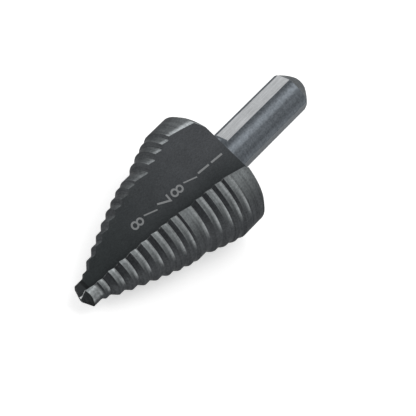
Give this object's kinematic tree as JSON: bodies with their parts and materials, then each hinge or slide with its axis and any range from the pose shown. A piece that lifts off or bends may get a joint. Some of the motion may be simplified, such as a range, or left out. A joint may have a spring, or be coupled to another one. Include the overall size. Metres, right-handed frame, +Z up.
{
  "type": "step drill",
  "caption": "Straight-flute step drill with a domed stack of ring steps, two open flutes, a split point and a round shank with flats.",
  "frame": {"origin": "on the surface that the drill lies on, at the middle of its bounding box", "axes": "+Z up; the drill's axis lies in the XZ plane, its point towards +X and 12 degrees below the level"},
  "size_m": [0.0658, 0.0284, 0.0262],
  "materials": {
    "tool_steel": "dark oxide over ground steel"
  },
  "bodies": {
    "root": {"step_drill": "tool_steel"}
  },
  "joints": []
}
